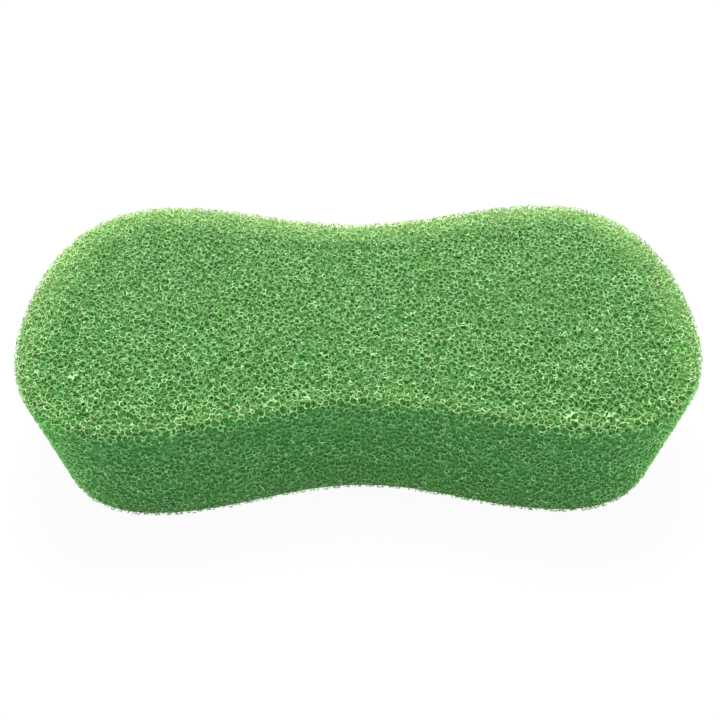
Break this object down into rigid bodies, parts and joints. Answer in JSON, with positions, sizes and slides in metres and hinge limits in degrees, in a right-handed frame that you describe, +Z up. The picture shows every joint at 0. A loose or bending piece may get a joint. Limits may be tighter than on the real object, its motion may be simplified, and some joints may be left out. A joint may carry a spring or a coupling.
{
  "type": "grooming sponge",
  "caption": "Bone-shaped block of open-cell foam with a narrowed waist to grip, for wiping down and grooming.",
  "frame": {"origin": "middle of the flat underside", "axes": "+X along the sponge's length, +Y across it, +Z up through its thickness"},
  "size_m": [0.1985, 0.1088, 0.04],
  "materials": {
    "foam": "matte open-cell polyurethane foam, dyed green through"
  },
  "bodies": {
    "root": {"sponge": "foam"}
  },
  "joints": []
}
